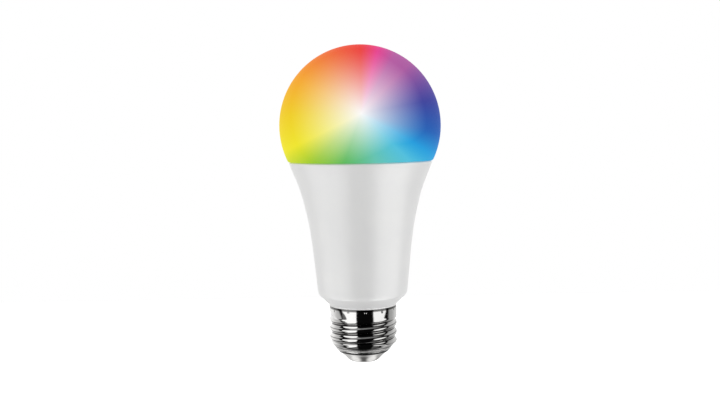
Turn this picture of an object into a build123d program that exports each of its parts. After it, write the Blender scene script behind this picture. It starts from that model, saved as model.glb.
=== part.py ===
"""Smart light bulb: a 63 mm colour LED lamp on an E26 screw base, as an assembly of separate pieces.

Frame: millimetres, +Z up along the lamp's axis, origin at the tip of the centre contact, -Y is the front.
"""

from build123d import *
from math import atan2, cos, pi, radians, sin, sqrt
import os

os.makedirs("parts", exist_ok=True)

# ---------------------------------------------------------------- driving dimensions
LENGTH = 124.7            # tip of the centre contact to the crown of the globe
GLOBE_R = 31.55           # globe outside radius
GLOBE_Z = LENGTH - GLOBE_R
GLOBE_WALL = 1.2
SEAM_Z = 79.65            # lower edge of the globe's visible surface
RIM_Z = 79.37             # top of the housing's rim
RIM_R = 27.97             # housing's outside radius at the rim
HOUSING_WALL = 1.4
SKIRT_R, SKIRT_WALL = 26.2, 1.0      # the globe's plug-in skirt
SKIRT_Z = 76.3

THREAD_MAJOR_R = 13.15    # E26: 26.3 mm across the crests
THREAD_MINOR_R = 12.35
THREAD_PITCH = 3.629      # 7 threads per inch
THREAD_ANGLE = 293.0      # direction of the crest at z = 0
SHELL_WALL = 0.35
SHELL_TOP = 22.45
SHOULDER_Z = 22.6         # the housing's bottom face above the shell
COLLAR_R = 13.38          # the housing's bottom edge
NECK_OUT_R, NECK_IN_R, NECK_Z = 11.9, 10.6, 8.0
STAKES, STAKE_Z, STAKE_ANGLE = 12, 21.3, 274.0
STAKE_R = THREAD_MAJOR_R + 0.42      # where the centres of the stake spheres lie

FLOOR_Z = 28.0            # floor the heat sink and the sleeve stand on
SHELF_Z = 74.2            # shelf the heat sink's flange rests on
DECK_Z, DECK_T = 75.0, 1.5           # top of the heat sink's deck
PAD_T, BOARD_T = 0.15, 1.5
BOARD_R = 24.3
BOARD_Z = DECK_Z + PAD_T
LED_Z = BOARD_Z + BOARD_T
LED_RING_R, RGB_RING_R, SCREW_RING_R = 20.6, 12.5, 15.4
SCREW_ANGLES = (30, 150, 270)
GAP = 0.03                # clearance between faces that fit each other

DRIVER_T = 1.2            # driver board, standing on the lamp's mid plane
DRIVER_Z0, DRIVER_Z1 = 10.3, 66.0
WIFI_Y, WIFI_T = 5.0, 0.8
PIN = 0.5                 # square header pins
HEADER_Y = -DRIVER_T / 2 - PIN / 2
HEADER_X = [-5, -3, -1, 1, 3, 5]
WIFI_PIN_X = [-6, -4, -2, 0, 2, 4, 6]
WIFI_PIN_Z = 60.0

FRONT = Plane((0, -DRIVER_T / 2, 0), x_dir=(1, 0, 0), z_dir=(0, -1, 0))
BACK = Plane((0, DRIVER_T / 2, 0), x_dir=(-1, 0, 0), z_dir=(0, 1, 0))

# outside radius of the housing at each height
WALL = [(17.76, 28.3), (18.43, 35.1), (19.41, 44.7), (20.68, 54.3), (22.76, 63.85), (25.34, 72.0), (RIM_R, RIM_Z - 0.45)]


def wall_r(z, inward=0.0):
    """Radius of the housing's outside at z, less a distance carried inward."""
    pts = WALL if z > WALL[0][1] else [WALL[0], WALL[1]]
    for (r0, z0), (r1, z1) in zip(pts, pts[1:]):
        if z <= z1 or (r1, z1) == pts[-1]:
            slope = (r1 - r0) / (z1 - z0)
            return r0 + slope * (z - z0) - inward * sqrt(1 + slope * slope)


def wall_line(z0, z1, inward):
    """Points that follow the housing's wall from z0 up to z1 at a distance inward."""
    zs = [z0] + [z for z in (35.1, 44.7, 54.3, 63.85) if z0 + 2 < z < z1 - 2] + [z1]
    return [(wall_r(z, inward), z) for z in zs]


def ring(r, count, start=0.0):
    return [(r * cos(radians(start + 360 * i / count)), r * sin(radians(start + 360 * i / count))) for i in range(count)]


def save(part, label):
    part.label = label
    export_step(part, f"parts/{label}.step")


def revolved(points):
    """Solid of revolution about the lamp's axis from (r, z) corners."""
    with BuildPart() as body:
        with BuildSketch(Plane.XZ):
            with BuildLine():
                Polyline(*points, close=True)
            make_face()
        revolve(axis=Axis.Z)
    return body.part


# ---------------------------------------------------------------- globe
with BuildPart() as globe_diffuser:
    with BuildSketch(Plane.XZ):
        with BuildLine():
            r_seam = sqrt(GLOBE_R**2 - (SEAM_Z - GLOBE_Z) ** 2)
            a = (atan2(SEAM_Z - GLOBE_Z, r_seam) + pi / 2) / 2
            ThreePointArc((r_seam, SEAM_Z), (GLOBE_R * cos(a), GLOBE_Z + GLOBE_R * sin(a)), (0, LENGTH))
            inner, skirt_in = GLOBE_R - GLOBE_WALL, SKIRT_R - SKIRT_WALL
            z_in = SEAM_Z + 1.4
            r_in = sqrt(inner**2 - (z_in - GLOBE_Z) ** 2)
            b = (atan2(z_in - GLOBE_Z, r_in) + pi / 2) / 2
            Line((0, LENGTH), (0, LENGTH - GLOBE_WALL))
            ThreePointArc((0, LENGTH - GLOBE_WALL), (inner * cos(b), GLOBE_Z + inner * sin(b)), (r_in, z_in))
            Polyline(
                (r_in, z_in),
                (skirt_in, SEAM_Z + 0.8),
                (skirt_in, SKIRT_Z),
                (SKIRT_R - 0.2, SKIRT_Z),
                (SKIRT_R, SKIRT_Z + 0.2),
                (SKIRT_R, SKIRT_Z + 0.6),
                (SKIRT_R + 0.22, SKIRT_Z + 0.9),
                (SKIRT_R + 0.22, SKIRT_Z + 1.1),
                (SKIRT_R, SKIRT_Z + 1.4),
                (SKIRT_R, SEAM_Z - 0.12),
                (r_seam - 0.3, SEAM_Z - 0.12),
                (r_seam, SEAM_Z),
            )
        make_face()
    revolve(axis=Axis.Z)
save(globe_diffuser.part, "globe_diffuser")

# bead of silicone between the globe's shoulder and the housing's rim
with BuildPart() as globe_adhesive_ring:
    with BuildSketch(Plane.XY.offset(RIM_Z)):
        Circle(27.4)
        Circle(SKIRT_R + 0.05, mode=Mode.SUBTRACT)
    extrude(amount=SEAM_Z - 0.12 - RIM_Z)
save(globe_adhesive_ring.part, "globe_adhesive_ring")

# ---------------------------------------------------------------- housing
with BuildPart() as housing:
    with BuildSketch(Plane.XZ):
        with BuildLine():
            rise = 0.98
            base_z = SHOULDER_Z + 0.5
            start = (17.0, base_z + (17.0 - COLLAR_R - 0.12) * rise)
            Polyline((COLLAR_R, SHOULDER_Z), (COLLAR_R + 0.12, base_z), start)
            TangentArc(start, WALL[0], tangent=(1, rise))
            Spline(*WALL, tangents=[(0.075, 1.0), (0.42, 1.0)])
            bore = SKIRT_R + 0.06
            low = wall_line(FLOOR_Z + 0.4, SHELF_Z, HOUSING_WALL)
            shelf = low[-1]
            Polyline(
                WALL[-1],
                (RIM_R - 0.02, RIM_Z - 0.2),
                (RIM_R - 0.2, RIM_Z),
                (bore, RIM_Z),
                (bore, SKIRT_Z + 1.44),
                (bore + 0.22, SKIRT_Z + 1.14),
                (bore + 0.22, SKIRT_Z + 0.86),
                (bore, SKIRT_Z + 0.56),
                (bore, SKIRT_Z - 0.3),
                (25.2, SKIRT_Z - 0.3),
                (25.2, SHELF_Z),
                shelf,
            )
            Spline(*low[::-1])
            Polyline(
                low[0],
                (low[0][0], FLOOR_Z),
                (13.6, FLOOR_Z),
                (NECK_IN_R + 0.3, 24.0),
                (NECK_IN_R, 23.2),
                (NECK_IN_R, NECK_Z),
                (NECK_OUT_R - 0.4, NECK_Z),
                (NECK_OUT_R, NECK_Z + 0.6),
                (NECK_OUT_R, 17.1),
                (12.4, 18.2),
                (THREAD_MAJOR_R - SHELL_WALL - GAP, 18.6),
                (THREAD_MAJOR_R - SHELL_WALL - GAP, SHOULDER_Z),
                (COLLAR_R, SHOULDER_Z),
            )
        make_face()
    revolve(axis=Axis.Z)
    # ribs and stops in the neck that hold the driver board by its edges
    with BuildSketch(Plane.XY.offset(NECK_Z + 1.3)):
        for sx in (-1, 1):
            with Locations((sx * 10.05, -1.2), (sx * 10.05, 1.2)):
                Rectangle(1.5, 0.9)
    extrude(amount=14.0)
    with BuildSketch(Plane.XY.offset(NECK_Z + 1.3)):
        with Locations((-10.05, 0), (10.05, 0)):
            Rectangle(1.5, 2.0)
    extrude(amount=DRIVER_Z0 - NECK_Z - 1.3)
    # nubs over the flange of the heat sink
    with BuildSketch(Plane.XY.offset(DECK_Z + GAP)):
        with PolarLocations(25.1, 6, start_angle=0):
            Rectangle(0.8, 4.0)
    extrude(amount=0.6)
    # groove and notch for the neutral lead
    with BuildSketch(Plane.XY.offset(NECK_Z - 0.5)):
        with Locations((0, 11.1 + 0.6)):
            Rectangle(1.0, 1.2)
    extrude(amount=8.5, mode=Mode.SUBTRACT)
    with BuildSketch(Plane.XY.offset(NECK_Z - 0.5)):
        with Locations((0, 11.0)):
            Rectangle(1.0, 2.4)
    extrude(amount=9.05 - NECK_Z + 0.5, mode=Mode.SUBTRACT)
    # pits the shell is staked into
    with PolarLocations(STAKE_R, STAKES, start_angle=STAKE_ANGLE):
        with Locations((0, 0, STAKE_Z)):
            Sphere(1.11, mode=Mode.SUBTRACT)
save(housing.part, "housing")

# ---------------------------------------------------------------- screw shell
def threaded(crest, root, z0, z1):
    """Rod with a rounded right-hand thread, lofted through level sections that turn with the helix."""
    count, around = round((z1 - z0) / THREAD_PITCH * 6), 16
    sections = []
    for k in range(count + 1):
        z = z0 + (z1 - z0) * k / count
        first = THREAD_ANGLE + 360 * z / THREAD_PITCH
        points = []
        for i in range(around):
            a = 360 * i / around
            r = root + (crest - root) * (0.5 + 0.5 * cos(radians(a - first)))
            points.append(Vector(r * cos(radians(a)), r * sin(radians(a)), z))
        sections.append(Wire([Edge.make_spline(points, periodic=True, parameters=[i / around for i in range(around + 1)])]))
    return Solid.make_loft(sections)


with BuildPart() as shell_space:
    add(threaded(THREAD_MAJOR_R - SHELL_WALL - 0.02, THREAD_MINOR_R - SHELL_WALL, 5.9, 18.3))
    add(revolved([(0, 5.95), (10.6, 5.95), (11.62, 7.0), (13.4, 8.8), (13.4, 18.2), (0, 18.2)]), mode=Mode.INTERSECT)
    add(revolved([(0, 4.2), (9.93, 4.2), (9.93, 5.1), (10.85, 6.2), (10.85, 6.3), (0, 6.3)]))
    add(revolved([(0, 16.85), (11.9, 16.85), (12.8, 17.75), (12.8, 23.0), (0, 23.0)]))

with BuildPart() as screw_shell:
    add(threaded(THREAD_MAJOR_R - 0.005, THREAD_MINOR_R, 5.9, 18.3))
    add(revolved([(0, 5.95), (11.35, 5.95), (12.15, 6.8), (13.85, 8.5), (13.85, 18.2), (0, 18.2)]), mode=Mode.INTERSECT)
    add(revolved([(0, 4.9), (10.55, 4.9), (11.4, 6.0), (11.5, 6.3), (0, 6.3)]))
    add(revolved([(0, 16.9), (12.3, 16.9), (THREAD_MAJOR_R, 17.7), (THREAD_MAJOR_R, SHELL_TOP), (0, SHELL_TOP)]))
    add(shell_space.part, mode=Mode.SUBTRACT)
    # stakes punched round the skirt
    with BuildPart(mode=Mode.PRIVATE) as bulges:
        with PolarLocations(STAKE_R, STAKES, start_angle=STAKE_ANGLE):
            with Locations((0, 0, STAKE_Z)):
                Sphere(1.08)
        with Locations((0, 0, STAKE_Z)):
            Cylinder(THREAD_MAJOR_R - 0.1, 4, mode=Mode.INTERSECT)
    add(bulges.part)
    with PolarLocations(STAKE_R, STAKES, start_angle=STAKE_ANGLE):
        with Locations((0, 0, STAKE_Z)):
            Sphere(0.75, mode=Mode.SUBTRACT)
save(screw_shell.part, "screw_shell")

# ---------------------------------------------------------------- base tip
save(
    revolved([
        (1.08, 7.95), (11.3, 7.95), (11.3, 6.95), (10.78, 6.3), (9.86, 5.16), (9.86, 4.86), (10.48, 4.86),
        (10.12, 4.25), (10.0, 4.18), (9.3, 4.18), (9.3, 4.45), (8.2, 4.45), (8.2, 3.6), (7.1, 2.7), (6.3, 1.85),
        (5.5, 1.05), (4.3, 0.85), (1.08, 0.85),
    ]),
    "base_insulator",
)
with BuildPart() as centre_contact:
    with BuildSketch(Plane.XZ):
        with BuildLine():
            Line((0, 0), (3.9, 0))
            Spline((3.9, 0), (4.95, 0.17), (6.3, 0.86), (7.1, 1.67), (7.92, 2.5), (8.95, 3.3), (9.9, 4.15), tangents=[(1, 0), (0.72, 0.7)])
            Polyline((9.9, 4.15), (9.25, 4.15), (9.25, 4.4), (8.9, 4.4), (8.9, 4.05), (8.3, 3.55), (7.2, 2.65), (6.4, 1.8), (5.6, 1.0), (4.4, 0.45), (0, 0.4), (0, 0))
        make_face()
    revolve(axis=Axis.Z)
save(centre_contact.part, "centre_contact")
# hollow rivet from the contact up through the insulator
save(revolved([(0.62, 0.82), (0.62, 7.9), (0.98, 7.9), (1.04, 7.6), (1.04, 0.83), (2.4, 0.83), (2.4, 0.45), (0.62, 0.45)]), "contact_pin")

# ---------------------------------------------------------------- heat sink, sleeve
with BuildPart() as heat_sink_cup:
    with BuildSketch(Plane.XZ):
        with BuildLine():
            out = wall_line(FLOOR_Z, SHELF_Z, HOUSING_WALL + GAP)
            inn = wall_line(FLOOR_Z, DECK_Z - DECK_T, HOUSING_WALL + GAP + 0.9)
            Spline(*out)
            Polyline(out[-1], (25.15, SHELF_Z), (25.15, DECK_Z), (0, DECK_Z), (0, DECK_Z - DECK_T), inn[-1])
            Spline(*inn[::-1])
            Line(inn[0], out[0])
        make_face()
    revolve(axis=Axis.Z)
    with BuildSketch(Plane.XY.offset(DECK_Z - DECK_T - 3.0)):
        with Locations(*[(SCREW_RING_R * cos(radians(t)), SCREW_RING_R * sin(radians(t))) for t in SCREW_ANGLES]):
            Circle(3.0)
    extrude(amount=3.0)
    with BuildSketch(Plane.XY.offset(DECK_Z - DECK_T - 3.5)):
        with Locations(*[(SCREW_RING_R * cos(radians(t)), SCREW_RING_R * sin(radians(t))) for t in SCREW_ANGLES]):
            Circle(1.45 + GAP)
        with Locations((0, HEADER_Y)):
            RectangleRounded(14.6, 3.6, 0.8)
        with Locations((0, WIFI_Y + WIFI_T / 2)):
            RectangleRounded(16.0, 2.2, 0.8)
    extrude(amount=6.0, mode=Mode.SUBTRACT)
save(heat_sink_cup.part, "heat_sink_cup")

SLEEVE_OUT, SLEEVE_IN = HOUSING_WALL + GAP + 0.9 + 0.05, HOUSING_WALL + GAP + 0.9 + 0.55
SLEEVE_TOP = 72.0
with BuildPart() as insulating_sleeve:
    # guides for the edges of the driver board
    with BuildSketch(Plane.XY.offset(31.0)):
        for sx in (-1, 1):
            with Locations((sx * 16.4, -1.1), (sx * 16.4, 1.1)):
                Rectangle(6.0, 0.9)
    extrude(amount=32.0)
    with BuildSketch(Plane.XZ):
        with BuildLine():
            out = wall_line(FLOOR_Z, SLEEVE_TOP, SLEEVE_OUT + 0.2)
            Spline(*out)
            Polyline(out[-1], (0, SLEEVE_TOP), (0, FLOOR_Z), out[0])
        make_face()
    revolve(axis=Axis.Z, mode=Mode.INTERSECT)
    with BuildSketch(Plane.XZ):
        with BuildLine():
            out = wall_line(FLOOR_Z, SLEEVE_TOP, SLEEVE_OUT)
            inn = wall_line(FLOOR_Z, SLEEVE_TOP, SLEEVE_IN)
            Spline(*out)
            Line(out[-1], inn[-1])
            Spline(*inn[::-1])
            Line(inn[0], out[0])
        make_face()
    revolve(axis=Axis.Z)
save(insulating_sleeve.part, "insulating_sleeve")

# ---------------------------------------------------------------- LED board
def disc_with_slots(radius, screw_r):
    with BuildSketch() as outline:
        Circle(radius)
        with Locations(*[(SCREW_RING_R * cos(radians(t)), SCREW_RING_R * sin(radians(t))) for t in SCREW_ANGLES]):
            Circle(screw_r, mode=Mode.SUBTRACT)
        with Locations((0, HEADER_Y)):
            RectangleRounded(12.6, 1.6, 0.4, mode=Mode.SUBTRACT)
        with Locations((0, WIFI_Y + WIFI_T / 2)):
            RectangleRounded(15.6, 1.4, 0.4, mode=Mode.SUBTRACT)
    return outline.sketch


with BuildPart() as thermal_pad:
    with BuildSketch(Plane.XY.offset(DECK_Z)):
        add(disc_with_slots(24.0, 2.0))
        with Locations((0, HEADER_Y)):
            RectangleRounded(15.0, 4.0, 0.8, mode=Mode.SUBTRACT)
        with Locations((0, WIFI_Y + WIFI_T / 2)):
            RectangleRounded(16.4, 2.6, 0.8, mode=Mode.SUBTRACT)
    extrude(amount=PAD_T)
save(thermal_pad.part, "thermal_pad")

with BuildPart() as led_board:
    with BuildSketch(Plane.XY.offset(BOARD_Z)):
        add(disc_with_slots(BOARD_R, 1.6))
        with PolarLocations(BOARD_R, 3, start_angle=90):
            Circle(1.2, mode=Mode.SUBTRACT)
    extrude(amount=BOARD_T)
save(led_board.part, "led_board")


def leds(start, label):
    """Nine 2835 packages on the outer ring, each with its dished lens well."""
    with BuildPart() as group:
        with BuildSketch(Plane.XY.offset(LED_Z)):
            with PolarLocations(LED_RING_R, 9, start_angle=start):
                Rectangle(2.8, 3.5)
        extrude(amount=0.7)
        with BuildSketch(Plane.XY.offset(LED_Z + 0.55)):
            with PolarLocations(LED_RING_R, 9, start_angle=start):
                RectangleRounded(2.1, 2.7, 0.5)
        extrude(amount=0.3, mode=Mode.SUBTRACT)
    save(group.part, label)


leds(0, "warm_white_leds")
leds(20, "cool_white_leds")

with BuildPart() as rgb_leds:
    with BuildSketch(Plane.XY.offset(LED_Z)):
        with PolarLocations(RGB_RING_R, 6):
            Rectangle(5.0, 5.0)
    extrude(amount=1.5)
    with BuildSketch(Plane.XY.offset(LED_Z + 1.1)):
        with PolarLocations(RGB_RING_R, 6):
            Circle(1.9)
    extrude(amount=0.6, mode=Mode.SUBTRACT)
save(rgb_leds.part, "rgb_leds")

with BuildPart() as led_board_screws:
    for t in SCREW_ANGLES:
        x, y = SCREW_RING_R * cos(radians(t)), SCREW_RING_R * sin(radians(t))
        with BuildSketch(Plane.XY.offset(LED_Z)):
            with Locations((x, y)):
                Circle(2.7)
        extrude(amount=1.6)
        with BuildSketch(Plane.XY.offset(DECK_Z - DECK_T - 2.6)):
            with Locations((x, y)):
                Circle(1.45)
        extrude(amount=LED_Z - DECK_Z + DECK_T + 2.6)
        with BuildSketch(Plane.XY.offset(LED_Z + 0.7)):
            with Locations((x, y)):
                Rectangle(2.9, 0.65)
                Rectangle(0.65, 2.9)
        extrude(amount=1.2, mode=Mode.SUBTRACT)
    fillet(led_board_screws.edges().filter_by(GeomType.CIRCLE).filter_by(lambda e: abs(e.radius - 2.7) < 0.01 and e.center().Z > LED_Z + 1), 0.7)
save(led_board_screws.part, "led_board_screws")

with BuildPart() as led_board_socket:
    with BuildSketch(Plane.XY.offset(LED_Z)):
        with Locations((0, HEADER_Y)):
            Rectangle(13.6, 3.2)
    extrude(amount=3.6)
    chamfer(led_board_socket.edges().group_by(Axis.Z)[-1], 0.3)
    with BuildSketch(Plane.XY.offset(LED_Z - 0.1)):
        with Locations(*[(x, HEADER_Y) for x in HEADER_X]):
            Rectangle(PIN + 0.1, PIN + 0.1)
    extrude(amount=3.2, mode=Mode.SUBTRACT)
save(led_board_socket.part, "led_board_socket")

# ---------------------------------------------------------------- driver board
def edge_x(z):
    return wall_r(z, SLEEVE_IN) - 0.3


LEAD_R, HOLE_R = 0.3, 0.38
# (x, z) of every soldered lead that passes through the driver board
INPUT_CAP = dict(x=0.0, r=4.0, z0=14.8, z1=26.4)
OUTPUT_CAP = dict(x=-5.6, r=4.0, z0=48.6, z1=59.4)
LYING_LEADS = [(-1.75, 27.9), (1.75, 27.9), (-7.35, 61.1), (-3.85, 61.1)]
FUSE = dict(x=0.0, z0=16.5, z1=25.0)
FUSE_LEADS = [(0.0, 14.6), (0.0, 27.0)]
FILM_LEADS = [(6.9, 50.6), (6.9, 58.0)]
TRANSFORMER_Z = 41.0
TRANSFORMER_LEADS = [(x, TRANSFORMER_Z + s * 6.3) for s in (-1, 1) for x in (-3.5, 0.0, 3.5)]
CHOKE = dict(x=-7.6, z=37.0)
CHOKE_LEADS = [(-9.6, 37.0), (-5.6, 37.0)]
VARISTOR = dict(x=8.2, z=34.0)
VARISTOR_LEADS = [(5.7, 34.0), (10.7, 34.0)]
STRAIGHT = FILM_LEADS + TRANSFORMER_LEADS + CHOKE_LEADS + VARISTOR_LEADS
WIRE_PADS = [(5.5, 18.5), (-5.5, 18.5)]

with BuildPart() as driver_board:
    with BuildSketch(Plane.XZ.offset(-DRIVER_T / 2)):
        with BuildLine():
            right = [(10.3, DRIVER_Z0), (10.3, 26.5), (13.9, 30.6)] + [(edge_x(z), z) for z in (32, 44.7, 54.3, 63.85, DRIVER_Z1)]
            Polyline((3.0, DRIVER_Z0), *right, *[(-x, z) for x, z in right[::-1]], (-3.0, DRIVER_Z0), (-3.0, 13.2), (3.0, 13.2), close=True)
        make_face()
        with Locations(*(LYING_LEADS + FUSE_LEADS + STRAIGHT)):
            Circle(HOLE_R, mode=Mode.SUBTRACT)
        with Locations(*[(x, WIFI_PIN_Z) for x in WIFI_PIN_X]):
            Rectangle(PIN + 0.1, PIN + 0.1, mode=Mode.SUBTRACT)
    extrude(amount=DRIVER_T)
save(driver_board.part, "driver_board")

with BuildPart() as board_header:
    with BuildSketch(Plane.XY.offset(62.2)):
        with Locations((0, -DRIVER_T / 2 - 0.9)):
            Rectangle(12.4, 1.8)
        with Locations(*[(x, HEADER_Y) for x in HEADER_X]):
            Rectangle(PIN + 0.04, PIN + 0.04, mode=Mode.SUBTRACT)
    extrude(amount=2.2)
save(board_header.part, "board_header")

with BuildPart() as header_pins:
    with BuildSketch(Plane.XY.offset(60.8)):
        with Locations(*[(x, HEADER_Y) for x in HEADER_X]):
            Rectangle(PIN, PIN)
    extrude(amount=LED_Z + 2.9 - 60.8)
save(header_pins.part, "header_pins")

# ---------------------------------------------------------------- wifi module
WIFI = Plane((0, WIFI_Y, 0), x_dir=(-1, 0, 0), z_dir=(0, 1, 0))
with BuildPart() as wifi_module_board:
    with BuildSketch(WIFI):
        with Locations((0, 69.6)):
            RectangleRounded(15.0, 24.0, 0.4)
        with Locations(*[(-x, WIFI_PIN_Z) for x in WIFI_PIN_X]):
            Rectangle(PIN + 0.1, PIN + 0.1, mode=Mode.SUBTRACT)
    extrude(amount=WIFI_T)
save(wifi_module_board.part, "wifi_module_board")

with BuildPart() as wifi_module_pins:
    with BuildSketch(Plane.XZ.offset(1.5)):
        with Locations(*[(x, WIFI_PIN_Z) for x in WIFI_PIN_X]):
            Rectangle(PIN, PIN)
    extrude(amount=-(WIFI_Y + WIFI_T + 0.7 + 1.5))
save(wifi_module_pins.part, "wifi_module_pins")

with BuildPart() as wifi_shield_can:
    with BuildSketch(WIFI.offset(WIFI_T)):
        with Locations((0, 67.0)):
            RectangleRounded(12.4, 10.6, 0.5)
    extrude(amount=2.2)
    fillet(wifi_shield_can.edges().group_by(Axis.Y)[-1], 0.35)
    with BuildSketch(WIFI.offset(WIFI_T)):
        with Locations((0, 67.0)):
            Rectangle(12.0, 10.2)
    extrude(amount=2.0, mode=Mode.SUBTRACT)
save(wifi_shield_can.part, "wifi_shield_can")

with BuildPart() as wifi_chip:
    with BuildSketch(WIFI.offset(WIFI_T)):
        with Locations((0, 67.0)):
            Rectangle(5.0, 5.0)
    extrude(amount=0.9)
save(wifi_chip.part, "wifi_chip")

with BuildPart() as wifi_antenna:
    with BuildSketch(WIFI.offset(WIFI_T)):
        for i in range(6):
            with Locations((-5.5 + 2.2 * i, 78.6)):
                Rectangle(0.5, 4.2)
        for i in range(5):
            with Locations((-4.4 + 2.2 * i, 80.45 if i % 2 == 0 else 76.75)):
                Rectangle(2.7, 0.5)
        with Locations((-5.5, 75.4)):
            Rectangle(0.5, 3.2)
    extrude(amount=0.05)
save(wifi_antenna.part, "wifi_antenna")

# ---------------------------------------------------------------- capacitors
def lying_can(x, r, z0, z1, label):
    """Electrolytic can lying along the driver board's front, its rubber end up, with the rolled groove."""
    y = -DRIVER_T / 2 - r - 0.02
    with BuildPart() as can:
        with BuildSketch(Plane((x, y, 0), x_dir=(1, 0, 0), z_dir=(0, -1, 0))):
            with BuildLine():
                Polyline(
                    (0, z0 + 0.15), (r - 0.9, z0 + 0.15), (r - 0.7, z0), (r - 0.3, z0), (r, z0 + 0.3),
                    (r, z1 - 2.3), (r - 0.35, z1 - 2.0), (r - 0.35, z1 - 1.7), (r, z1 - 1.4), (r, z1 - 0.25), (r - 0.25, z1),
                    (r - 0.8, z1), (r - 0.8, z1 - 0.3), (0, z1 - 0.3), close=True,
                )
            make_face()
        revolve(axis=Axis((x, y, 0), (0, 0, 1)))
    save(can.part, label)


lying_can(**INPUT_CAP, label="input_capacitor")
lying_can(**OUTPUT_CAP, label="output_capacitor")

with BuildPart() as film_capacitor:
    with BuildSketch(FRONT.offset(0.1)):
        with Locations((6.9, 54.3)):
            RectangleRounded(5.0, 9.2, 0.6)
    extrude(amount=7.5)
    fillet(film_capacitor.edges().group_by(Axis.Y)[0], 0.5)
save(film_capacitor.part, "film_capacitor")

# ---------------------------------------------------------------- transformer
T_Y = -DRIVER_T / 2
with BuildPart() as transformer_bobbin:
    with BuildSketch(FRONT.offset(2.65)):
        with Locations((0, TRANSFORMER_Z)):
            Rectangle(9.2, 14.6)
    extrude(amount=0.8)
    with BuildSketch(FRONT.offset(8.95)):
        with Locations((0, TRANSFORMER_Z)):
            Rectangle(9.2, 11.0)
    extrude(amount=0.8)
    with BuildSketch(FRONT.offset(3.4)):
        with Locations((0, TRANSFORMER_Z)):
            Rectangle(4.6, 4.6)
    extrude(amount=5.6)
    with BuildSketch(FRONT):
        with Locations((0, TRANSFORMER_Z - 6.3), (0, TRANSFORMER_Z + 6.3)):
            Rectangle(9.2, 2.0)
        with Locations(*TRANSFORMER_LEADS):
            Circle(LEAD_R + 0.03, mode=Mode.SUBTRACT)
    extrude(amount=2.7)
    with BuildSketch(FRONT.offset(2.0)):
        with Locations((0, TRANSFORMER_Z)):
            Rectangle(3.8, 3.8)
    extrude(amount=9.0, mode=Mode.SUBTRACT)
save(transformer_bobbin.part, "transformer_bobbin")

with BuildPart() as transformer_winding:
    with BuildSketch(FRONT.offset(3.5)):
        with Locations((0, TRANSFORMER_Z)):
            RectangleRounded(8.8, 10.2, 2.0)
            Rectangle(4.66, 4.66, mode=Mode.SUBTRACT)
    extrude(amount=5.4)
save(transformer_winding.part, "transformer_winding")

with BuildPart() as transformer_core:
    with BuildSketch(Plane.XY.offset(TRANSFORMER_Z - 1.85)):
        with Locations((0, T_Y - 1.5), (0, T_Y - 10.9)):
            Rectangle(13.0, 2.2)
        with Locations((-5.6, T_Y - 6.2), (5.6, T_Y - 6.2)):
            Rectangle(1.8, 11.6)
        with Locations((0, T_Y - 6.2)):
            Rectangle(3.7, 11.0)
        with Locations((0, T_Y - 6.2)):
            Rectangle(20, 0.04, mode=Mode.SUBTRACT)
    extrude(amount=3.7)
save(transformer_core.part, "transformer_core")

# ---------------------------------------------------------------- choke, varistor, fuse resistor, bridge
CHOKE_PLANE = Plane((CHOKE["x"], DRIVER_T / 2, CHOKE["z"]), x_dir=(1, 0, 0), z_dir=(0, 0, 1))
with BuildPart() as choke_core:
    with BuildSketch(CHOKE_PLANE):
        with BuildLine():
            Polyline((0, 0.1), (3.9, 0.1), (3.9, 1.2), (1.7, 1.2), (1.7, 7.4), (3.9, 7.4), (3.9, 8.5), (0, 8.5), close=True)
        make_face()
    revolve(axis=Axis((CHOKE["x"], 0, CHOKE["z"]), (0, 1, 0)))
    with BuildSketch(BACK):
        with Locations(*[(-x, z) for x, z in CHOKE_LEADS]):
            Circle(LEAD_R + 0.03)
    extrude(amount=0.7, mode=Mode.SUBTRACT)
save(choke_core.part, "choke_core")

with BuildPart() as choke_winding:
    with BuildSketch(CHOKE_PLANE):
        with BuildLine():
            wave = [(3.55, 1.24)]
            for i in range(14):
                wave += [(3.7, 1.24 + 0.436 * (i + 0.5)), (3.55, 1.24 + 0.436 * (i + 1))]
            Polyline((1.73, 1.24), *wave, (1.73, wave[-1][1]), close=True)
        make_face()
    revolve(axis=Axis((CHOKE["x"], 0, CHOKE["z"]), (0, 1, 0)))
save(choke_winding.part, "choke_winding")

with BuildPart() as varistor:
    with BuildSketch(Plane.XY.offset(VARISTOR["z"] - 1.7)):
        with Locations((VARISTOR["x"], DRIVER_T / 2 + 4.4)):
            Circle(3.7)
    extrude(amount=3.4)
    fillet(varistor.edges().filter_by(GeomType.CIRCLE), 1.0)
    with BuildSketch(BACK.offset(0.3)):
        with Locations(*[(-x, z) for x, z in VARISTOR_LEADS]):
            Circle(0.55)
    extrude(amount=4.0)
save(varistor.part, "varistor")

with BuildPart() as fuse_resistor:
    y = DRIVER_T / 2 + 1.9
    with BuildSketch(Plane((0, y, 0), x_dir=(1, 0, 0), z_dir=(0, -1, 0))):
        with BuildLine():
            Polyline((0, FUSE["z0"]), (1.2, FUSE["z0"]), (1.75, FUSE["z0"] + 0.5), (1.75, FUSE["z0"] + 1.8), (1.5, FUSE["z0"] + 2.2),
                     (1.5, FUSE["z1"] - 2.2), (1.75, FUSE["z1"] - 1.8), (1.75, FUSE["z1"] - 0.5), (1.2, FUSE["z1"]), (0, FUSE["z1"]), close=True)
        make_face()
    revolve(axis=Axis((0, y, 0), (0, 0, 1)))
save(fuse_resistor.part, "fuse_resistor")

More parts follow.
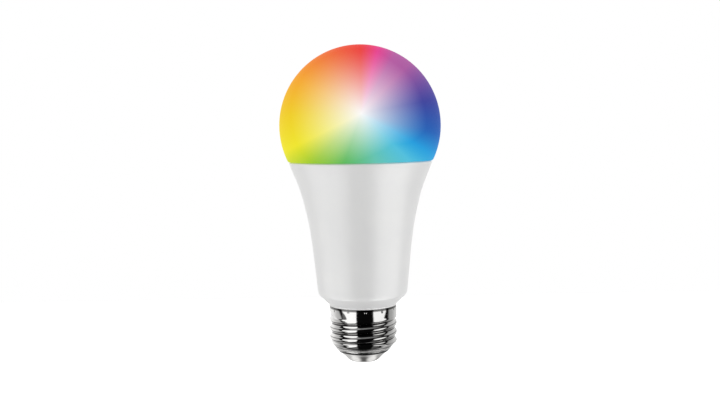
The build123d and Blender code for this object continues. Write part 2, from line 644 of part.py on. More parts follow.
# ---------------------------------------------------------------- flat packages
# centre (x, z), length across the leads, height along the leads, thickness, leads a side
BACK_CHIPS = {
    "bridge_rectifier": ((0.0, 31.4), 3.9, 4.7, 2.2, 2, 2.54),
    "driver_chip": ((0.0, 41.0), 3.9, 4.9, 1.45, 4, 1.27),
    "led_driver_chip": ((-7.4, 52.5), 3.9, 9.9, 1.45, 8, 1.27),
    "voltage_regulator": ((8.0, 46.0), 3.5, 6.5, 1.6, 3, 2.3),
}
for label, ((cx, cz), wide, high, thick, n, pitch) in BACK_CHIPS.items():
    with BuildPart() as package:
        with BuildSketch(BACK.offset(0.12)):
            with Locations((-cx, cz)):
                Rectangle(wide, high)
        extrude(amount=thick)
        chamfer(package.edges().group_by(Axis.Y)[-1], 0.2)
    save(package.part, label)

with BuildPart() as chip_leads:
    for (cx, cz), wide, high, thick, n, pitch in BACK_CHIPS.values():
        for side in (-1, 1):
            for i in range(n):
                z = cz + (i - (n - 1) / 2) * pitch
                x0 = cx + side * wide / 2
                y0, y1 = DRIVER_T / 2, DRIVER_T / 2 + 0.12 + thick / 2
                with BuildSketch(Plane.XY.offset(z - 0.2)):
                    with BuildLine():
                        Polyline(
                            (x0, y1), (x0 + side * 0.45, y1), (x0 + side * 0.65, y0 + 0.15), (x0 + side * 1.25, y0 + 0.15),
                            (x0 + side * 1.25, y0), (x0 + side * 0.5, y0), (x0 + side * 0.32, y1 - 0.15), (x0, y1 - 0.15), close=True,
                        )
                    make_face()
                extrude(amount=0.4)
save(chip_leads.part, "chip_leads")

with BuildPart() as power_diodes:
    with BuildSketch(FRONT):
        with Locations((-10.8, 31.8), (-10.8, 41.8), (10.4, 44.6)):
            Rectangle(2.7, 4.4)
    extrude(amount=2.1)
    chamfer(power_diodes.edges().group_by(Axis.Y)[0], 0.25)
save(power_diodes.part, "power_diodes")

with BuildPart() as chip_resistors:
    with BuildSketch(FRONT):
        with Locations((-11.0, 49.5), (-9.0, 49.5), (10.4, 36.0), (10.4, 39.0), (12.4, 50.0), (10.7, 50.0)):
            Rectangle(1.25, 2.0)
    extrude(amount=0.5)
    with BuildSketch(BACK):
        with Locations((-4.2, 42.0), (-4.2, 45.0), (4.0, 41.6), (4.0, 44.4), (-1.5, 55.2), (1.5, 55.2)):
            Rectangle(1.25, 2.0)
    extrude(amount=0.5)
save(chip_resistors.part, "chip_resistors")

with BuildPart() as ceramic_capacitors:
    with BuildSketch(BACK):
        with Locations((0, 51.6), (2.6, 51.6), (-2.6, 51.6), (-11.2, 40.4), (-8.6, 40.4), (-4.6, 52.0), (-12.4, 47.0)):
            Rectangle(1.6, 2.6)
    extrude(amount=1.2)
save(ceramic_capacitors.part, "ceramic_capacitors")

# ---------------------------------------------------------------- leads, wires, solder
with BuildPart() as component_leads:
    # straight leads, from inside each part's foot through the board
    with BuildSketch(Plane.XZ.offset(-DRIVER_T / 2 - 0.28)):
        with Locations(*(CHOKE_LEADS + VARISTOR_LEADS)):
            Circle(LEAD_R)
    extrude(amount=DRIVER_T + 0.28 + 0.9)
    with BuildSketch(Plane.XZ.offset(-DRIVER_T / 2 - 0.9)):
        with Locations(*FILM_LEADS):
            Circle(LEAD_R)
    extrude(amount=DRIVER_T + 0.9 + 0.1)
    with BuildSketch(Plane.XZ.offset(-DRIVER_T / 2 - 0.9)):
        with Locations(*TRANSFORMER_LEADS):
            Circle(LEAD_R)
    extrude(amount=DRIVER_T + 0.9 + 2.5)
    # bent leads of the lying cans
    for (x, z), cap in zip(LYING_LEADS, (INPUT_CAP, INPUT_CAP, OUTPUT_CAP, OUTPUT_CAP)):
        y = -DRIVER_T / 2 - cap["r"] - 0.02
        if z > cap["z1"]:
            z_start, bend = cap["z1"] - 0.3, z - 1.0
        else:
            z_start, bend = cap["z0"] + 0.15, z + 1.0
        with BuildLine() as path:
            Line((x, y, z_start), (x, y, bend))
            RadiusArc((x, y, bend), (x, y + 1.0, z), 1.0 if z > bend else -1.0)
            Line((x, y + 1.0, z), (x, DRIVER_T / 2 + 0.9, z))
        with BuildSketch(Plane((x, y, z_start), z_dir=(0, 0, 1 if z > z_start else -1))):
            Circle(LEAD_R)
        sweep(path=path.line)
    for (x, z), z_start in zip(FUSE_LEADS, (FUSE["z0"], FUSE["z1"])):
        y = DRIVER_T / 2 + 1.9
        s = 1 if z > z_start else -1
        with BuildLine() as path:
            Line((x, y, z_start), (x, y, z - s * 0.9))
            RadiusArc((x, y, z - s * 0.9), (x, y - 0.9, z), -0.9 * s)
            Line((x, y - 0.9, z), (x, -DRIVER_T / 2 - 0.9, z))
        with BuildSketch(Plane((x, y, z_start), z_dir=(0, 0, s))):
            Circle(LEAD_R)
        sweep(path=path.line)
save(component_leads.part, "component_leads")

WIRE_Y = DRIVER_T / 2 + 0.55
with BuildPart() as live_wire:
    with BuildLine() as path:
        Spline((0, 0, 8.3), (1.7, WIRE_Y, 12.4), (5.5, WIRE_Y, 18.5), tangents=[(0, 0, 1), (0, 0, 1)])
    with BuildSketch(Plane((0, 0, 8.3))):
        Circle(0.5)
    sweep(path=path.line)
    with BuildSketch(Plane.XY.offset(2.0)):
        Circle(0.55)
    extrude(amount=6.35)
save(live_wire.part, "live_wire")

with BuildPart() as neutral_wire:
    with BuildLine() as path:
        Line((0, 11.52, 15.2), (0, 11.52, 9.3))
        ThreePointArc((0, 11.52, 9.3), (0, 10.85, 8.63), (0, 10.18, 9.3))
        Spline((0, 10.18, 9.3), (-2.4, 7.0, 12.6), (-5.5, WIRE_Y, 18.5), tangents=[(0, 0, 1), (0, 0, 1)])
    with BuildSketch(Plane((0, 11.52, 15.2), z_dir=(0, 0, -1))):
        Circle(0.36)
    sweep(path=path.line)
save(neutral_wire.part, "neutral_wire")
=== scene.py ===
from math import atan2, cos, degrees, pi, radians, sin, sqrt

import bpy
import numpy as np
from mathutils import Matrix, Vector


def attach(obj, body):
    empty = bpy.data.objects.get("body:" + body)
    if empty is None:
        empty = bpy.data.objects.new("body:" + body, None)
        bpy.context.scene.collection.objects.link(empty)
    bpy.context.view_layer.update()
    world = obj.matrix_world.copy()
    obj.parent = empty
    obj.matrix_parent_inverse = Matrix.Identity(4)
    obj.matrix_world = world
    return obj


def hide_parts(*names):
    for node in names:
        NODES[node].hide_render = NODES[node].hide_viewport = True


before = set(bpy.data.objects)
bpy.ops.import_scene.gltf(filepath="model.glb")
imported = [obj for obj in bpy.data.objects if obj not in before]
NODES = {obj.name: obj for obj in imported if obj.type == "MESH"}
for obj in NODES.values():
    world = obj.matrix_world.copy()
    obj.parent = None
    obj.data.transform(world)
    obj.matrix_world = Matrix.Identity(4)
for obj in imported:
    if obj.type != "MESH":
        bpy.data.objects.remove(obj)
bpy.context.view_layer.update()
MM = 0.001
scene = bpy.context.scene
scene.view_settings.view_transform = "Standard"
scene.view_settings.look = "None"
scene.view_settings.exposure = 0.0
scene.view_settings.gamma = 1.0

# ------------------------------------------------------------------ camera
PITCH, YAW, ROLL = radians(4.63), radians(-0.077), radians(-0.955)
forward = Vector((sin(YAW) * cos(PITCH), cos(YAW) * cos(PITCH), -sin(PITCH)))
level = Vector((cos(YAW), -sin(YAW), 0.0))
top = level.cross(forward)
right = level * cos(ROLL) + top * sin(ROLL)
up = -level * sin(ROLL) + top * cos(ROLL)
camera_data = bpy.data.cameras.new("camera")
camera_data.sensor_fit = "HORIZONTAL"
camera_data.sensor_width = 36.0
camera_data.lens = 47.68
camera_data.clip_start, camera_data.clip_end = 0.01, 50.0
camera = bpy.data.objects.new("camera", camera_data)
scene.collection.objects.link(camera)
camera.matrix_world = Matrix(
    (
        (right.x, up.x, -forward.x, 0.0),
        (right.y, up.y, -forward.y, -0.3750),
        (right.z, up.z, -forward.z, 0.0930),
        (0.0, 0.0, 0.0, 1.0),
    )
)
scene.camera = camera

# ------------------------------------------------------------------ the lamp's shape, in millimetres
LENGTH, GLOBE_R, GLOBE_WALL = 124.7, 31.55, 1.2
GLOBE_Z = LENGTH - GLOBE_R
SEAM_Z, RIM_Z, RIM_R = 79.65, 79.37, 27.97
SKIRT_R, SKIRT_Z = 26.2, 76.3
MAJOR_R, MINOR_R, PITCH_MM, CREST_AT = 13.33, 12.55, 3.629, 293.0
SHELL_TOP, SHOULDER_Z, COLLAR_R = 22.45, 22.6, 13.38
STAKES, STAKE_Z, STAKE_AT, STAKE_R = 12, 21.3, 274.0, 13.57


def spline(points, count):
    """A smooth line through (r, z) points: a natural cubic on the running chord length."""
    p = np.array(points, float)
    t = np.concatenate(([0.0], np.cumsum(np.hypot(*np.diff(p, axis=0).T))))
    n = len(t)
    h = np.diff(t)
    out = []
    ts = np.linspace(0, t[-1], count)
    for k in range(2):
        y = p[:, k]
        A = np.zeros((n, n))
        b = np.zeros(n)
        A[0, 0] = A[-1, -1] = 1.0
        for i in range(1, n - 1):
            A[i, i - 1], A[i, i], A[i, i + 1] = h[i - 1], 2 * (h[i - 1] + h[i]), h[i]
            b[i] = 3 * ((y[i + 1] - y[i]) / h[i] - (y[i] - y[i - 1]) / h[i - 1])
        c = np.linalg.solve(A, b)
        i = np.clip(np.searchsorted(t, ts, side="right") - 1, 0, n - 2)
        d = ts - t[i]
        slope = (y[i + 1] - y[i]) / h[i] - h[i] * (2 * c[i] + c[i + 1]) / 3
        out.append(y[i] + slope * d + c[i] * d**2 + (c[i + 1] - c[i]) / (3 * h[i]) * d**3)
    return [(float(r), float(z)) for r, z in zip(*out)]


def arc(r0, z0, radius, a0, a1, count):
    """Points on a circle about (r0, z0), from angle a0 to a1 in degrees."""
    return [(r0 + radius * cos(radians(a0 + (a1 - a0) * i / (count - 1))), z0 + radius * sin(radians(a0 + (a1 - a0) * i / (count - 1)))) for i in range(count)]


def mesh_object(name, verts, faces, body="root", sharp=40):
    mesh = bpy.data.meshes.new(name)
    mesh.from_pydata([(x * MM, y * MM, z * MM) for x, y, z in verts], [], faces)
    mesh.validate()
    for p in mesh.polygons:
        p.use_smooth = True
    mesh.set_sharp_from_angle(angle=radians(sharp))
    mesh.update()
    obj = bpy.data.objects.new(name, mesh)
    scene.collection.objects.link(obj)
    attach(obj, body)
    return obj


def lathe(name, profile, segments, sharp=40, radius_at=None):
    """Closed body of revolution from a closed (r, z) line. radius_at(angle, r, z) may push a point in or out."""
    verts, rows = [], []
    for r, z in profile:
        if r < 1e-6:
            rows.append([len(verts)])
            verts.append((0.0, 0.0, z))
        else:
            row = []
            for s in range(segments):
                a = 2 * pi * s / segments
                q = radius_at(a, r, z) if radius_at else r
                row.append(len(verts))
                verts.append((q * cos(a), q * sin(a), z))
            rows.append(row)
    faces = []
    for a, b in zip(rows, rows[1:] + rows[:1]):
        for s in range(segments):
            t = (s + 1) % segments
            if len(a) == 1 and len(b) == 1:
                break
            if len(a) == 1:
                faces.append((a[0], b[t], b[s]))
            elif len(b) == 1:
                faces.append((a[s], a[t], b[0]))
            else:
                faces.append((a[s], a[t], b[t], b[s]))
    obj = mesh_object(name, verts, faces, sharp=sharp)
    outward(obj)
    return obj


def outward(obj):
    """Turns every face the right way out."""
    import bmesh

    bm = bmesh.new()
    bm.from_mesh(obj.data)
    bmesh.ops.recalc_face_normals(bm, faces=bm.faces[:])
    bm.to_mesh(obj.data)
    bm.free()


# ------------------------------------------------------------------ globe
def globe_profile():
    r_seam = sqrt(GLOBE_R**2 - (SEAM_Z - GLOBE_Z) ** 2)
    low = degrees(atan2(SEAM_Z - GLOBE_Z, r_seam))
    outer = arc(0, GLOBE_Z, GLOBE_R, low + 0.35, 90, 120)
    outer[-1] = (0.0, LENGTH)
    inner_r = GLOBE_R - GLOBE_WALL
    z_in = SEAM_Z + 1.4
    r_in = sqrt(inner_r**2 - (z_in - GLOBE_Z) ** 2)
    low_in = degrees(atan2(z_in - GLOBE_Z, r_in))
    inner = arc(0, GLOBE_Z, inner_r, 90, low_in, 90)
    inner[0] = (0.0, LENGTH - GLOBE_WALL)
    foot = [
        (SKIRT_R - 1.0, SEAM_Z + 0.8),
        (SKIRT_R - 1.0, SKIRT_Z + 0.05),
        (SKIRT_R - 0.95, SKIRT_Z),
        (SKIRT_R - 0.2, SKIRT_Z),
        (SKIRT_R, SKIRT_Z + 0.2),
        (SKIRT_R, SKIRT_Z + 0.6),
        (SKIRT_R + 0.12, SKIRT_Z + 0.76),
        (SKIRT_R + 0.2, SKIRT_Z + 0.9),
        (SKIRT_R + 0.22, SKIRT_Z + 1.0),
        (SKIRT_R + 0.2, SKIRT_Z + 1.1),
        (SKIRT_R + 0.12, SKIRT_Z + 1.24),
        (SKIRT_R, SKIRT_Z + 1.4),
        (SKIRT_R, SEAM_Z - 0.12),
        (r_seam - 0.34, SEAM_Z - 0.12),
        (r_seam - 0.16, SEAM_Z - 0.1),
        (r_seam - 0.04, SEAM_Z),
    ]
    return outer + inner + foot


globe = lathe("globe_diffuser_skin", globe_profile(), 256)
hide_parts("globe_diffuser")

# ------------------------------------------------------------------ housing
WALL = [
    (17.69, 27.6), (17.86, 29.0), (18.43, 35.1), (18.92, 39.93), (19.41, 44.73), (20.0, 49.53), (20.70, 54.31), (21.65, 59.08),
    (22.77, 63.85), (24.10, 68.60), (25.88, 73.34), (26.89, 75.9), (27.93, 78.6),
]


def housing_profile():
    base_z = SHOULDER_Z + 0.5
    foot_r = COLLAR_R + 0.12
    outer = [(COLLAR_R, SHOULDER_Z), (COLLAR_R + 0.02, SHOULDER_Z + 0.28), (foot_r - 0.04, base_z - 0.02), (foot_r + 0.03, base_z + 0.04)]
    # cone, then a rounded corner up to the wall
    start = (17.1, base_z + (17.1 - foot_r) * 0.98)
    outer += [(foot_r + (start[0] - foot_r) * i / 6, base_z + (start[1] - base_z) * i / 6) for i in range(1, 7)]
    p0, p1, p2 = Vector(start), Vector((17.66, start[1] + 0.56 * 0.98)), Vector(WALL[1])
    for i in range(1, 20):
        t = i / 20
        q = p0 * (1 - t) ** 2 + p1 * 2 * t * (1 - t) + p2 * t**2
        outer.append((q.x, q.y))
    outer += spline(WALL[1:], 110)
    # rim: a small rounded edge under the globe
    outer += [(RIM_R, 78.86), (RIM_R, 79.0), (RIM_R - 0.03, 79.13), (RIM_R - 0.1, 79.25), (RIM_R - 0.2, 79.33), (RIM_R - 0.32, RIM_Z)]
    bore = SKIRT_R + 0.06
    inner = [
        (bore + 0.05, RIM_Z), (bore, RIM_Z - 0.05), (bore, SKIRT_Z + 1.44), (bore + 0.22, SKIRT_Z + 1.14), (bore + 0.22, SKIRT_Z + 0.86), (bore, SKIRT_Z + 0.56),
        (bore, SKIRT_Z - 0.3), (25.2, SKIRT_Z - 0.3), (25.2, 74.2), (24.75, 74.2),
    ]
    wall = spline(WALL[1:], 40)
    for (ra, za), (rb, zb) in zip(wall[::-1], wall[::-1][1:]):
        if 28.6 < zb < 73.0:
            slope = (ra - rb) / (za - zb)
            inner.append((rb - 1.4 * sqrt(1 + slope * slope), zb))
    inner += [
        (16.4, 28.4), (16.4, 28.0), (13.6, 28.0), (10.9, 24.0), (10.6, 23.2), (10.6, 8.0), (11.5, 8.0), (11.9, 8.6), (11.9, 17.1), (12.4, 18.2), (12.77, 18.6), (12.77, SHOULDER_Z),
    ]
    return outer + inner


housing = lathe("housing_skin", housing_profile(), 256, sharp=35)
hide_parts("housing")


# ------------------------------------------------------------------ screw shell, rolled thread and punched stakes
def smooth(a, b, x):
    t = min(1.0, max(0.0, (x - a) / (b - a)))
    return t * t * (3 - 2 * t)


ROOT_ROUND = ((PITCH_MM / 4) ** 2 + 0.4**2) / 0.8


def thread_r(angle, z):
    """Radius of the rolled thread: round crests and round roots in turn."""
    u = ((z / PITCH_MM - (degrees(angle) - CREST_AT) / 360.0) % 1.0) * PITCH_MM
    u = min(u, PITCH_MM - u)
    if u <= PITCH_MM / 4:
        return MAJOR_R - ROOT_ROUND + sqrt(ROOT_ROUND**2 - u * u)
    v = PITCH_MM / 2 - u
    return MINOR_R + ROOT_ROUND - sqrt(ROOT_ROUND**2 - v * v)


def shell_r(angle, z):
    """Outside of the shell from its lip to its top, before the stakes."""
    r = thread_r(angle, z)
    # the thread runs out into the plain skirt above and the shoulder below
    turn = ((degrees(angle) - 270.0) % 360.0) / 360.0
    climb = 2.7 * smooth(0.30, 0.70, turn) * (1 - smooth(0.77, 0.90, turn))
    r += (MAJOR_R - r) * smooth(16.7 + climb, 18.0 + climb, z)
    if z < 10.0:
        # a round shoulder, then the cone down to the lip
        if z > 6.8:
            heel = 12.775 - 3.2 + sqrt(3.2**2 - (8.7 - z) ** 2)
        else:
            heel = 11.4 + (z - 6.0) * 0.94 if z > 6.0 else 10.55 + (z - 4.9) * 0.773
        low = 8.3 - 1.3 * smooth(0.5, 1.0, 0.5 + 0.5 * cos(angle))
        r = heel + (r - heel) * smooth(low, low + 1.2, z)
        if z < 5.27:
            # the lip is rolled over into a small bead
            r = 10.60 + sqrt(max(0.0, 0.21**2 - (z - 5.1) ** 2))
        elif z < 5.45:
            k = smooth(5.27, 5.45, z)
            r = (10.60 + 0.124) * (1 - k) + r * k
    r = min(r, MAJOR_R)
    if z > 18.0:
        # the plain skirt is very slightly barrelled
        r -= 0.09 * ((z - 20.2) / 2.25) ** 2 * smooth(18.0, 18.6, z) * (1 - smooth(0.2, 0.6, climb))
    return r


def stake_dent(angle, z):
    step = 360.0 / STAKES
    d = (degrees(angle) - STAKE_AT) % step
    d = min(d, step - d)
    s = sqrt((radians(d) * MAJOR_R) ** 2 + (z - STAKE_Z) ** 2)
    if s >= 0.62:
        return 0.0
    # a round-nosed punch: a spherical dent with a soft edge
    return 0.20 * (1 - smooth(0.05, 0.62, s))


def screw_shell_mesh():
    n = 384
    zs = [4.915, 4.935, 4.97] + list(np.arange(5.02, 5.5, 0.045)) + [5.6, 5.8, 6.0, 6.2, 6.4, 6.6, 6.8]
    zs += list(np.arange(7.0, 18.3, 0.121))
    zs += list(np.arange(18.35, 20.3, 0.2))
    zs += list(np.arange(20.4, 22.25, 0.11))
    zs += [22.3, 22.38, SHELL_TOP]
    verts, rows = [], []

    def row(fn, z):
        out = []
        for s in range(n):
            a = 2 * pi * s / n
            r = fn(a, z)
            out.append(len(verts))
            verts.append((r * cos(a), r * sin(a), z))
        rows.append(out)

    for z in zs:
        edge = 0.05 if z >= 22.44 else 0.012 if z > 22.36 else 0.0
        lip = 0.06 if z < 4.95 else 0.0
        row(lambda a, q: shell_r(a, q) - stake_dent(a, q) - edge - lip, z)
    for z in zs[::-2]:
        # the inside follows at the thickness of the sheet
        if z > 6.9:
            row(lambda a, q: min(shell_r(a, q), MAJOR_R) - 0.35 - stake_dent(a, q), min(z, SHELL_TOP - 0.001))
        elif z < 6.5:
            row(lambda a, q: min(10.55 + (q - 4.9) * 0.773, shell_r(a, q)) - 0.33, z + 0.1)
    faces = []
    for a, b in zip(rows, rows[1:] + rows[:1]):
        for s in range(n):
            t = (s + 1) % n
            faces.append((a[s], a[t], b[t], b[s]))
    obj = mesh_object("screw_shell_skin", verts, faces, sharp=50)
    outward(obj)
    return obj


shell = screw_shell_mesh()
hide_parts("screw_shell")

# ------------------------------------------------------------------ insulator and centre contact
insulator = lathe(
    "base_insulator_skin",
    [
        (1.08, 7.95), (11.2, 7.95), (11.3, 7.85), (11.3, 6.95), (10.78, 6.3), (9.83, 5.16), (9.83, 4.88), (10.12, 4.87), (10.17, 4.82),
        (10.17, 4.5), (10.14, 4.34), (10.08, 4.25), (10.0, 4.2), (9.9, 4.18), (9.3, 4.18), (9.3, 4.45), (8.2, 4.45), (8.2, 3.6),
        (7.1, 2.7), (6.3, 1.85), (5.5, 1.05), (4.3, 0.85), (1.08, 0.85),
    ],
    192,
)
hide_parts("base_insulator")

tip = [(0.0, 0.0), (2.0, 0.0)] + spline([(3.9, 0.0), (4.95, 0.14), (5.75, 0.46), (6.3, 0.86), (7.1, 1.67), (7.92, 2.5), (8.95, 3.36), (9.7, 3.95)], 48)
contact = lathe(
    "centre_contact_skin",
    tip + [(9.85, 4.06), (9.88, 4.12), (9.85, 4.17), (9.25, 4.17), (9.25, 4.4), (8.9, 4.4), (8.9, 4.05), (8.3, 3.55), (7.2, 2.65), (6.4, 1.8), (5.6, 1.0), (4.4, 0.45), (0.0, 0.4)],
    192,
)
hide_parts("centre_contact")


# ------------------------------------------------------------------ materials
class Nodes:
    """Short hand for building a node tree."""

    def __init__(self, name):
        self.mat = bpy.data.materials.new(name)
        self.mat.use_nodes = True
        self.t = self.mat.node_tree
        self.bsdf = self.t.nodes["Principled BSDF"]
        self.out = self.t.nodes["Material Output"]
        self.coord = self.t.nodes.new("ShaderNodeTexCoord").outputs["Object"]

    def link(self, a, b):
        self.t.links.new(a, b)

    def set(self, **values):
        for k, v in values.items():
            self.bsdf.inputs[k.replace("_", " ")].default_value = v
        return self

    def put(self, socket, value):
        if isinstance(value, bpy.types.NodeSocket):
            self.link(value, socket)
        else:
            socket.default_value = value

    def math(self, op, a, b=None, c=None, clamp=False):
        n = self.t.nodes.new("ShaderNodeMath")
        n.operation = op
        n.use_clamp = clamp
        for i, v in enumerate((a, b, c)):
            if v is not None:
                self.put(n.inputs[i], v)
        return n.outputs[0]

    def noise(self, scale, detail=4.0, rough=0.55, stretch=None, distortion=0.0):
        n = self.t.nodes.new("ShaderNodeTexNoise")
        n.inputs["Scale"].default_value = scale
        n.inputs["Detail"].default_value = detail
        n.inputs["Roughness"].default_value = rough
        n.inputs["Distortion"].default_value = distortion
        self.link(self.mapped(stretch) if stretch else self.coord, n.inputs["Vector"])
        return n.outputs["Fac"]

    def mapped(self, stretch, location=(0, 0, 0), rotation=(0, 0, 0)):
        m = self.t.nodes.new("ShaderNodeMapping")
        m.inputs["Scale"].default_value = stretch
        m.inputs["Location"].default_value = location
        m.inputs["Rotation"].default_value = rotation
        self.link(self.coord, m.inputs["Vector"])
        return m.outputs[0]

    def xyz(self, vector=None):
        s = self.t.nodes.new("ShaderNodeSeparateXYZ")
        self.link(vector or self.coord, s.inputs[0])
        return s.outputs

    def range(self, value, a, b, c, d):
        n = self.t.nodes.new("ShaderNodeMapRange")
        self.link(value, n.inputs["Value"])
        for k, v in zip(("From Min", "From Max", "To Min", "To Max"), (a, b, c, d)):
            n.inputs[k].default_value = v
        return n.outputs[0]

    def mix(self, fac, a, b, mode="MIX"):
        n = self.t.nodes.new("ShaderNodeMix")
        n.data_type = "RGBA"
        n.blend_type = mode
        self.put(n.inputs[0], fac)
        self.put(n.inputs[6], a)
        self.put(n.inputs[7], b)
        return n.outputs[2]

    def step(self, value, a, b):
        """0 below a and 1 above b, smoothly."""
        n = self.t.nodes.new("ShaderNodeMapRange")
        n.interpolation_type = "SMOOTHSTEP"
        self.link(value, n.inputs["Value"])
        n.inputs["From Min"].default_value, n.inputs["From Max"].default_value = a, b
        n.inputs["To Min"].default_value, n.inputs["To Max"].default_value = 0.0, 1.0
        return n.outputs[0]

    def band(self, value, a, b, soft):
        return self.math("MULTIPLY", self.step(value, a - soft, a + soft), self.math("SUBTRACT", 1.0, self.step(value, b - soft, b + soft)))

    def bump(self, height, strength, distance, normal=None):
        n = self.t.nodes.new("ShaderNodeBump")
        n.inputs["Strength"].default_value = strength
        n.inputs["Distance"].default_value = distance
        self.link(height, n.inputs["Height"])
        if normal is not None:
            self.link(normal, n.inputs["Normal"])
        self.link(n.outputs[0], self.bsdf.inputs["Normal"])
        return n.outputs[0]

    def color(self, value):
        self.put(self.bsdf.inputs["Base Color"], value)

    def rough(self, value):
        self.put(self.bsdf.inputs["Roughness"], value)


def give(mat, *objects):
    for o in objects:
        o.data.materials.clear()
        o.data.materials.append(mat)


def rgb(*v):
    """Linear colour with alpha from display values of 0 to 255."""
    return tuple((c / 255 / 12.92 if c <= 10.31 else ((c / 255 + 0.055) / 1.055) ** 2.4) for c in v) + (1.0,)


# ---- globe: lit from inside, white ahead of the middle and full colour towards the edge
# (direction round the front in degrees, hue at the edge, how far out it is full in 1/72 of the disc)
HUES = [
    (-180, (240, 205, 30), 70),     # warm yellow
    (-155, (240, 230, 40), 70),     # yellow
    (-135, (150, 200, 50), 67),     # lime
    (-110, (95, 185, 95), 50),      # green
    (-75, (100, 195, 175), 42),     # sea green
    (-45, (80, 190, 220), 43),      # sky blue
    (-30, (30, 155, 220), 57),      # azure
    (-15, (30, 95, 180), 66),       # blue
    (10, (60, 65, 155), 62),        # indigo
    (45, (170, 90, 160), 61),       # violet
    (60, (180, 90, 160), 61),       # orchid
    (75, (230, 60, 140), 65),       # pink
    (90, (235, 60, 55), 65),        # red
    (120, (240, 115, 55), 67),      # orange
    (150, (245, 165, 40), 70),      # amber
    (180, (240, 205, 30), 70),      # and round to warm yellow
]
g = Nodes("opal_globe_lit")
px, py, pz = g.xyz()
dx = g.math("MULTIPLY_ADD", px, 1000.0, -0.6)
dz = g.math("MULTIPLY_ADD", pz, 1000.0, -97.6)
turn = g.math("MULTIPLY_ADD", g.math("ARCTAN2", dz, dx), 1 / (2 * pi), 0.5)
rho = g.math("SQRT", g.math("ADD", g.math("MULTIPLY", dx, dx), g.math("MULTIPLY", dz, dz)))
out_far = g.math("MULTIPLY", rho, g.math("MULTIPLY_ADD", g.math("MULTIPLY", rho, rho), -0.00017 / 72, 2.76 / 72))
ramp = g.t.nodes.new("ShaderNodeValToRGB")
ramp.color_ramp.interpolation = "LINEAR"
els = ramp.color_ramp.elements
while len(els) > 1:
    els.remove(els[-1])
for i, (a, c, far) in enumerate(HUES):
    e = els[0] if i == 0 else els.new((a + 180) / 360)
    e.position = (a + 180) / 360
    # kept as display values here; the gamma node below makes them linear
    e.color = tuple((x / 255) for x in c) + (far / 72,)
g.link(turn, ramp.inputs[0])
blend_out = g.math("DIVIDE", out_far, ramp.outputs["Alpha"], clamp=True)
wheel = g.mix(blend_out, (0.992, 0.988, 0.984, 1.0), ramp.outputs["Color"])
# the moulding and the lights behind it leave it very slightly uneven
cloud = g.range(g.noise(38.0, 3.0, 0.5), 0.3, 0.7, 0.985, 1.0)
even = g.t.nodes.new("ShaderNodeVectorMath")
even.operation = "SCALE"
g.link(wheel, even.inputs[0])
g.link(cloud, even.inputs["Scale"])
gamma = g.t.nodes.new("ShaderNodeGamma")
gamma.inputs["Gamma"].default_value = 2.2
g.link(even.outputs[0], gamma.inputs["Color"])
g.link(gamma.outputs[0], g.bsdf.inputs["Emission Color"])
g.color(g.mix(0.98, gamma.outputs[0], (0.008, 0.008, 0.008, 1.0)))
g.set(Emission_Strength=0.965)
g.bsdf.inputs["Specular IOR Level"].default_value = 0.03
g.rough(g.range(g.noise(900.0, 3.0), 0.3, 0.7, 0.52, 0.62))
g.bump(g.noise(1400.0, 2.0), 0.12, 0.00004)
give(g.mat, globe)

# ---- housing: satin white moulding with the faint texture of the tool
h = Nodes("satin_white_moulding")
h.color(h.mix(h.range(h.noise(55.0, 4.0), 0.3, 0.7, 0.0, 1.0), rgb(226, 226, 226), rgb(231, 231, 230)))
h.rough(h.range(h.noise(420.0, 4.0, 0.6), 0.3, 0.7, 0.30, 0.40))
h.bump(h.noise(2600.0, 3.0, 0.6), 0.25, 0.00002, None)
h.bsdf.inputs["Specular IOR Level"].default_value = 0.5
give(h.mat, housing)


# ---- nickel: bright plate over drawn brass
def painted_thread_shade(k):
    """Painted shade: darker bands on the flanks of the thread and at the heel, painted dark reflections, and a painted
    shadow under the moulding.
    """
    x, y, z = k.xyz()
    turn_ = k.math("MULTIPLY", k.math("ARCTAN2", y, x), 1 / (2 * pi))
    climb = k.math("SUBTRACT", k.math("MULTIPLY", z, 1000 / PITCH_MM), k.math("SUBTRACT", turn_, CREST_AT / 360.0))
    wander = k.math("MULTIPLY_ADD", k.noise(500.0, 3.0), 0.04, -0.02)
    phase = k.math("FRACT", k.math("ADD", climb, wander))
    # painted dark reflections: bands on the upper and lower flanks of the thread
    upper = k.band(phase, 0.115, 0.185, 0.02)
    lower = k.math("MAXIMUM", k.band(phase, 0.48, 0.665, 0.02), k.band(phase, 0.74, 0.86, 0.02))
    tall = k.band(z, 0.0088, 0.0172, 0.0005)
    flanks = k.math("MULTIPLY", k.math("MAXIMUM", k.math("MULTIPLY", upper, 0.75), k.math("MULTIPLY", lower, 0.96)), tall)
    # painted shadow just under the edge of the moulding
    collar = k.step(z, 0.02145, 0.0219)
    # painted dark band at the heel, standing in for a dark reflection
    heel = k.band(z, 0.0062, 0.0068, 0.00012)
    return k.math("MAXIMUM", flanks, k.math("MAXIMUM", k.math("MULTIPLY", collar, 0.82), k.math("MULTIPLY", heel, 0.93)))


def satin_highlight_ring(k):
    """A ring on the cone above the lip: an assumed satin finish, rougher, and tinted brighter as a painted highlight
    line.
    """
    return k.band(k.xyz()[2], 0.0053, 0.0060, 0.0002)


def nickel(name, tint, rough_low, rough_high, lines, painted_shade=None, satin_and_highlight=None):
    k = Nodes(name)
    fine = k.noise(60.0, 5.0, 0.6, stretch=(1.0, 1.0, lines))
    plate = k.mix(k.range(k.noise(160.0, 4.0), 0.35, 0.65, 0.0, 1.0), tint, tuple(c * 0.94 for c in tint[:3]) + (1.0,))
    # the ring above the lip is tinted brighter: a painted highlight line (its roughness below is a satin finish)
    if satin_and_highlight:
        plate = k.mix(satin_and_highlight(k), plate, (0.95, 0.945, 0.935, 1.0))
    # painted shade: the plate is mixed towards near black where the shade mask is set
    k.color(k.mix(painted_shade(k), plate, (0.035, 0.034, 0.033, 1.0)) if painted_shade else plate)
    k.set(Metallic=1.0)
    rough = k.range(fine, 0.3, 0.7, rough_low, rough_high)
    k.rough(k.math("MULTIPLY_ADD", satin_and_highlight(k), 0.6, rough) if satin_and_highlight else rough)
    k.bump(fine, 0.06, 0.00002)
    return k.mat
